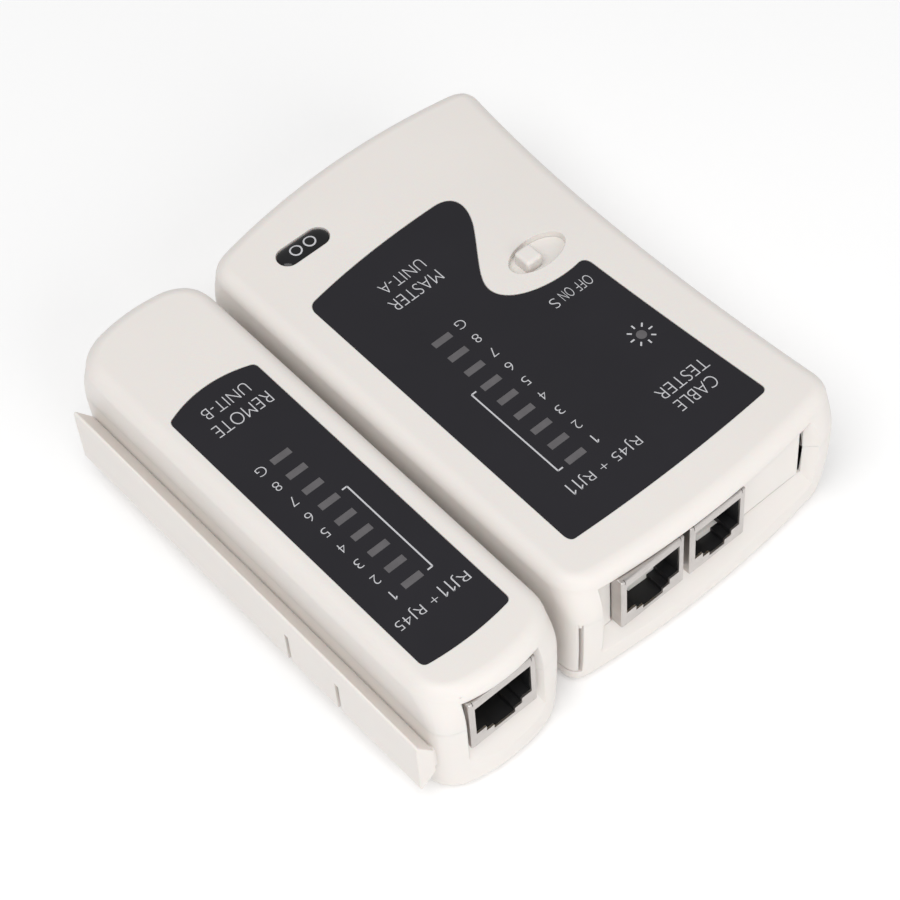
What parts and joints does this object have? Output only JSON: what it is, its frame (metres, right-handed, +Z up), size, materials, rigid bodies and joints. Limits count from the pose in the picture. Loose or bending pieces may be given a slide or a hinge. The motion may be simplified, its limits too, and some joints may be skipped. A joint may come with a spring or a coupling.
{
  "type": "network cable tester",
  "caption": "Network cable tester: wide main unit with two sockets, lamp row and slide switch, beside a narrow remote unit with one socket and a docking rail.",
  "frame": {"origin": "centre of the footprint of both units, on the table", "axes": "+X from the remote unit to the main unit, -Y out of the sockets, +Z up through the labels"},
  "size_m": [0.0986, 0.1061, 0.0312],
  "materials": {
    "case_ivory": "satin",
    "label_black": "printed film",
    "badge_black": "polished",
    "moulded_black": "matte",
    "nickel": "plated",
    "gold_contact": "plated",
    "board_green": "satin",
    "lamp_smoke": "clear",
    "steel": "plated",
    "wire_red": "satin",
    "cell_jacket": "satin",
    "resistor_body": "lacquered"
  },
  "bodies": {
    "main_unit": {"battery_9v": "cell_jacket", "battery_lead_black": "moulded_black", "battery_lead_red": "wire_red", "battery_snap": "moulded_black", "counter_chip": "moulded_black", "master_bottom_shell": "case_ivory", "master_label": "label_black", "master_led_1": "lamp_smoke", "master_led_2": "lamp_smoke", "master_led_3": "lamp_smoke", "master_led_4": "lamp_smoke", "master_led_5": "lamp_smoke", "master_led_6": "lamp_smoke", "master_led_7": "lamp_smoke", "master_led_8": "lamp_smoke", "master_led_g": "lamp_smoke", "master_pcb": "board_green", "master_rj11_contacts": "gold_contact", "master_rj11_insert": "moulded_black", "master_rj11_shield": "nickel", "master_rj45_contacts": "gold_contact", "master_rj45_insert": "moulded_black", "master_rj45_shield": "nickel", "master_screw_1": "steel", "master_screw_2": "steel", "master_screw_3": "steel", "master_screw_4": "steel", "master_top_shell": "case_ivory", "oval_badge": "badge_black", "power_led": "lamp_smoke", "switch_body": "steel", "timer_chip": "moulded_black", "timing_capacitor": "moulded_black", "timing_resistor": "resistor_body"},
    "battery_hatch": {"battery_cover": "case_ivory"},
    "knob": {"switch_knob": "case_ivory"},
    "remote_unit": {"remote_bottom_shell": "case_ivory", "remote_label": "label_black", "remote_led_1": "lamp_smoke", "remote_led_2": "lamp_smoke", "remote_led_3": "lamp_smoke", "remote_led_4": "lamp_smoke", "remote_led_5": "lamp_smoke", "remote_led_6": "lamp_smoke", "remote_led_7": "lamp_smoke", "remote_led_8": "lamp_smoke", "remote_led_g": "lamp_smoke", "remote_pcb": "board_green", "remote_rj45_contacts": "gold_contact", "remote_rj45_insert": "moulded_black", "remote_rj45_shield": "nickel", "remote_screw_1": "steel", "remote_screw_2": "steel", "remote_top_shell": "case_ivory"}
  },
  "joints": [
    {"name": "switch_slide", "type": "slide", "parent": "main_unit", "child": "knob", "axis": [1, 0, 0], "range_m": [0, 0.0041]},
    {"name": "battery_cover_slide", "type": "slide", "parent": "main_unit", "child": "battery_hatch", "axis": [0, 1, 0], "range_m": [0, 0.036]},
    {"name": "remote_slide", "type": "slide", "parent": "main_unit", "child": "remote_unit", "axis": [-1, 0, 0], "range_m": [0, 0.06]}
  ]
}
